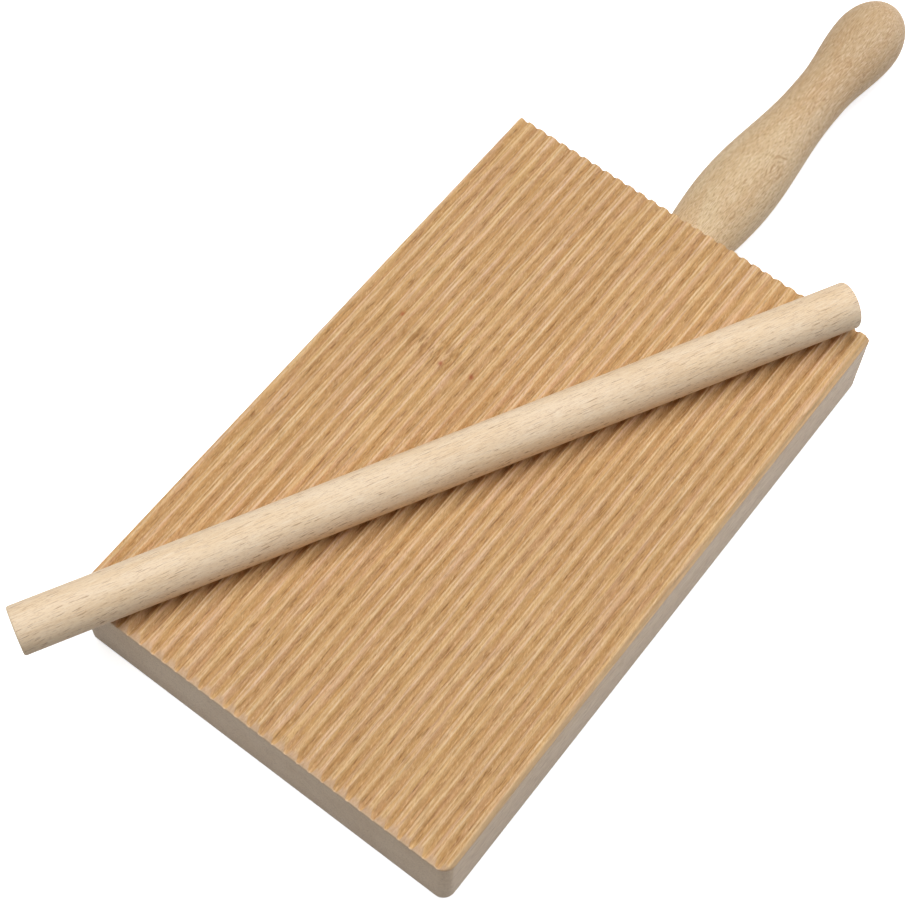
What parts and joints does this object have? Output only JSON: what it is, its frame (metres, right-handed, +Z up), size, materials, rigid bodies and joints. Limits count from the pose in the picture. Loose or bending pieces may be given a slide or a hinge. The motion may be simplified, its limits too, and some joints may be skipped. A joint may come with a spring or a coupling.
{
  "type": "gnocchi board",
  "caption": "Beech gnocchi board with lengthwise round-bottomed grooves, a turned handle glued into its back end, and a loose plain rolling pin lying slantwise on the ridges.",
  "frame": {"origin": "centre of the flat underside of the board, where it rests on the table", "axes": "+Y along the grooves, from the front end of the board to the handle; +X across the grooves to the right; +Z up out of the ridged face"},
  "size_m": [0.1268, 0.322, 0.0394],
  "materials": {
    "board_wood": "sawn and grooved beech, oiled to a honey colour, satin",
    "handle_wood": "turned and sanded beech, bare, matt",
    "pin_wood": "planed and sanded beech dowel, bare, matt"
  },
  "bodies": {
    "board": {"board": "board_wood", "handle": "handle_wood"},
    "rolling_pin": {"rolling_pin": "pin_wood"}
  },
  "joints": [
    {"name": "pin_roll", "type": "slide", "parent": "board", "child": "rolling_pin", "axis": [0.8813, -0.4726, 0], "range_m": [-0.05, 0.06]}
  ]
}
